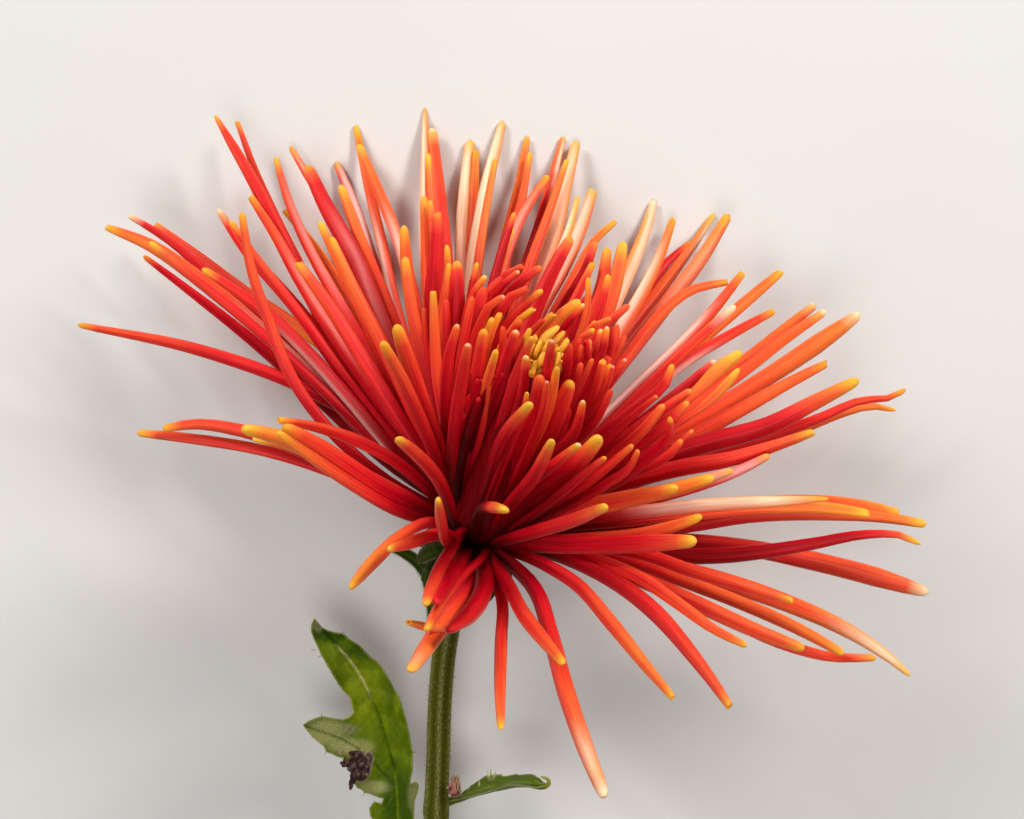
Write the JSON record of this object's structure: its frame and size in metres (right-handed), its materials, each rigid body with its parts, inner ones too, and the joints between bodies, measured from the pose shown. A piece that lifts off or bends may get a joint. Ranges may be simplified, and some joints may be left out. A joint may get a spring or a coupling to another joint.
{
  "type": "chrysanthemum",
  "caption": "Cut chrysanthemum stem lying on a surface: quilled red ray florets with yellow tips, a young yellow centre, green involucre, ribbed stem, leaves and a bud.",
  "frame": {"origin": "on the surface that the flower lies on, at the centre of the bounding box's bottom face", "axes": "+X to the right in the picture, +Y up in it, from the cut end of the stem towards the head, +Z up from the surface, towards the picture's camera"},
  "size_m": [0.1427, 0.2052, 0.0885],
  "materials": {
    "ray_florets": "satin",
    "disc_florets": "satin",
    "involucre": "matte",
    "stem": "matte",
    "leaf": "satin",
    "axil_bud": "matte"
  },
  "bodies": {
    "root": {"ray_florets": "ray_florets", "disc_florets": "disc_florets", "involucre": "involucre", "stem": "stem", "leaf_left": "leaf", "leaf_right": "leaf", "bract_leaf": "leaf", "axil_bud": "axil_bud"}
  },
  "joints": []
}
